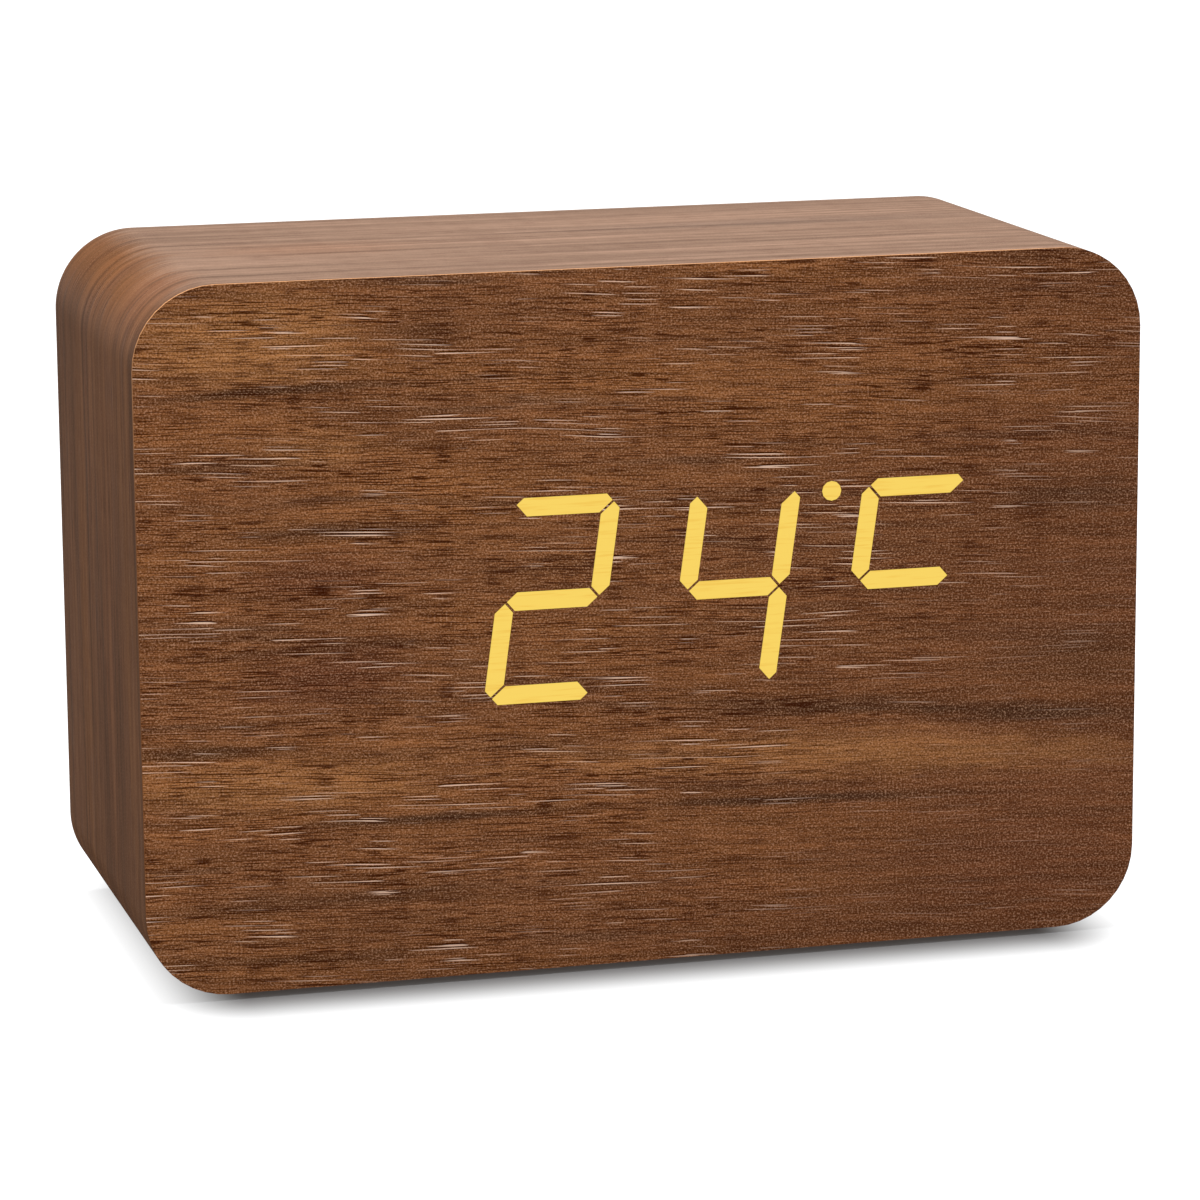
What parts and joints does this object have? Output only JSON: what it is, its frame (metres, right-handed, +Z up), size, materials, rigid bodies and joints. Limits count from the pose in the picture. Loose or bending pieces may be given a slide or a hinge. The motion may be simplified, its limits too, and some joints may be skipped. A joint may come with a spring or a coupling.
{
  "type": "radio-controlled alarm clock",
  "caption": "Table clock in a wood-look block with rounded corners, amber light digits behind the front film, and keys, socket and battery door at the back.",
  "frame": {"origin": "under the middle of the clock, on the surface that its feet stand on", "axes": "+X to the viewer's right, +Y from the lit front to the back, +Z up"},
  "size_m": [0.1, 0.045, 0.069],
  "materials": {
    "fibreboard": "raw",
    "wood_film": "satin printed walnut grain",
    "reflector_plastic": "moulded",
    "amber_resin": "clear cast resin, lit from behind",
    "circuit_board": "solder resist",
    "steel": "zinc plated",
    "black_plastic": "fine spark texture",
    "key_plastic": "smooth moulded",
    "black_resin": "cast",
    "ribbon": "satin",
    "cell_sleeve": "shrink sleeve",
    "nickel": "nickel plated",
    "ferrite": "sintered",
    "copper_wire": "enamelled",
    "rubber": "matt"
  },
  "bodies": {
    "clock": {"case_body": "fibreboard", "front_board": "fibreboard", "side_film": "wood_film", "front_film": "wood_film", "display_reflector": "reflector_plastic", "digit_one_bars": "amber_resin", "digit_two_bars": "amber_resin", "digit_three_bars": "amber_resin", "digit_four_bars": "amber_resin", "colon_bars": "amber_resin", "degree_bar": "amber_resin", "display_board": "circuit_board", "display_screw_left": "steel", "display_screw_right": "steel", "display_header": "black_plastic", "main_header": "black_plastic", "display_ribbon": "ribbon", "rear_cover": "black_plastic", "cover_screw_top_left": "steel", "cover_screw_top_right": "steel", "cover_screw_bottom_left": "steel", "cover_screw_bottom_right": "steel", "battery_1": "cell_sleeve", "battery_2": "cell_sleeve", "battery_3": "cell_sleeve", "contact_negative": "nickel", "contact_link_left": "nickel", "contact_link_right": "nickel", "contact_positive": "nickel", "main_board": "circuit_board", "controller_chip": "black_resin", "quartz_crystal": "steel", "receiver_board": "circuit_board", "buzzer": "black_plastic", "temperature_sensor": "black_resin", "dc_jack": "black_plastic", "set_switch": "black_plastic", "up_switch": "black_plastic", "down_switch": "black_plastic", "alarm_switch": "black_plastic", "slide_switch": "steel", "antenna_bracket": "black_plastic", "ferrite_rod": "ferrite", "antenna_coil": "copper_wire", "foot_front_left": "rubber", "foot_front_right": "rubber", "foot_rear_left": "rubber", "foot_rear_right": "rubber"},
    "set_key": {"set_button": "key_plastic", "set_plunger": "key_plastic"},
    "up_key": {"up_button": "key_plastic", "up_plunger": "key_plastic"},
    "down_key": {"down_button": "key_plastic", "down_plunger": "key_plastic"},
    "alarm_key": {"alarm_button": "key_plastic", "alarm_plunger": "key_plastic"},
    "alarm_slider": {"slide_knob": "key_plastic"},
    "door": {"battery_door": "black_plastic"}
  },
  "joints": [
    {"name": "set_press", "type": "slide", "parent": "clock", "child": "set_key", "axis": [0, -1, 0], "range_m": [0, 0.0004], "stiffness_N_per_m": 500},
    {"name": "up_press", "type": "slide", "parent": "clock", "child": "up_key", "axis": [0, -1, 0], "range_m": [0, 0.0004], "stiffness_N_per_m": 500},
    {"name": "down_press", "type": "slide", "parent": "clock", "child": "down_key", "axis": [0, -1, 0], "range_m": [0, 0.0004], "stiffness_N_per_m": 500},
    {"name": "alarm_press", "type": "slide", "parent": "clock", "child": "alarm_key", "axis": [0, -1, 0], "range_m": [0, 0.0004], "stiffness_N_per_m": 500},
    {"name": "alarm_slide", "type": "slide", "parent": "clock", "child": "alarm_slider", "axis": [1, 0, 0], "range_m": [0, 0.0025]},
    {"name": "battery_door_swing", "type": "hinge", "parent": "clock", "child": "door", "pos_m": [-0.03557, 0.0217, 0.0348], "axis": [0, 0, 1], "range_deg": [0, 70]}
  ]
}
